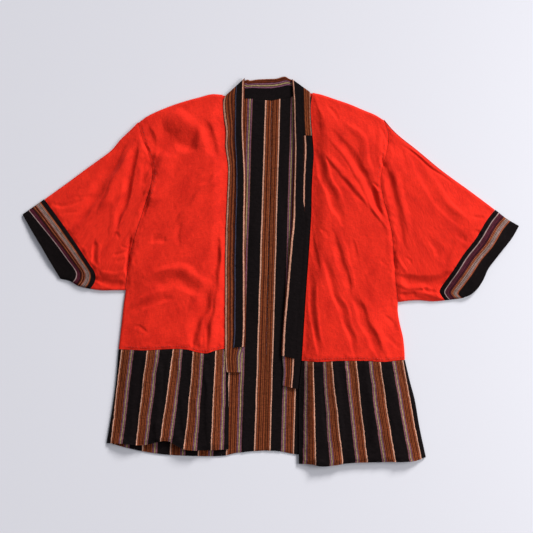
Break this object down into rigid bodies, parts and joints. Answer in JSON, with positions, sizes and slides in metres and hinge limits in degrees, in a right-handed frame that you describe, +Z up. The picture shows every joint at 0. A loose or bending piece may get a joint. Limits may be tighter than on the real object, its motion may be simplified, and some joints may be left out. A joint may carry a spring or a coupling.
{
  "type": "noragi",
  "caption": "Short cotton work jacket laid flat with its front up: red body and sleeves, striped hem bands, cuffs, collar and back lining.",
  "frame": {"origin": "middle of the garment's box, on the surface that it lies on", "axes": "+X to the wearer's left, across the spread sleeves; +Y towards the neck; +Z up from the surface"},
  "size_m": [0.992, 0.7773, 0.0164],
  "materials": {
    "red_cloth": "matt slubby plain weave",
    "striped_cloth": "matt plain weave with warp stripes",
    "cuff_cloth": "matt plain weave with warp stripes"
  },
  "bodies": {
    "root": {"front_right": "red_cloth", "front_left": "red_cloth", "back_right": "red_cloth", "back_left": "red_cloth", "sleeve_right": "red_cloth", "sleeve_left": "red_cloth", "band_right": "striped_cloth", "band_left": "striped_cloth", "band_back": "striped_cloth", "lining_right": "striped_cloth", "lining_left": "striped_cloth", "collar_right": "striped_cloth", "collar_left": "striped_cloth", "collar_left_upper": "striped_cloth", "collar_neck": "striped_cloth", "over_collar_right": "striped_cloth", "over_collar_left": "striped_cloth", "over_collar_neck": "striped_cloth", "cuff_right": "cuff_cloth", "cuff_left": "cuff_cloth"}
  },
  "joints": []
}
